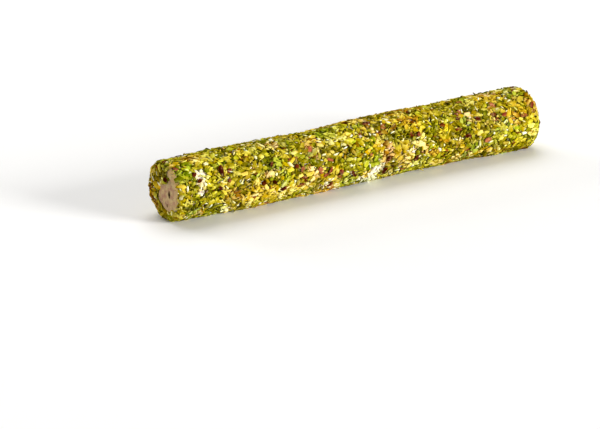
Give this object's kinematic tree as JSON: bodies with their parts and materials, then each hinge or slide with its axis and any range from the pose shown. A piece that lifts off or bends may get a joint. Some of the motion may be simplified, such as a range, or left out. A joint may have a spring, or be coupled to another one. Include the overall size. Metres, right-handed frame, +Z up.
{
  "type": "turkish delight roll",
  "caption": "Long soft confectionery roll, coated all round in chopped pistachio, with one cut end showing its beige paste and one rounded end.",
  "frame": {"origin": "centre of the roll's own footprint, on the plane that it rests on", "axes": "+X along the roll, from the cut end that shows its paste to the rounded end; +Z up; -Y towards the viewer's side"},
  "size_m": [0.3045, 0.0465, 0.0432],
  "materials": {
    "pistachio_coat": "chopped pistachio, yellow-green, rough and slightly oily",
    "paste": "soft beige paste, matt and slightly translucent"
  },
  "bodies": {
    "root": {"turkish_delight_roll": "pistachio_coat"}
  },
  "joints": []
}
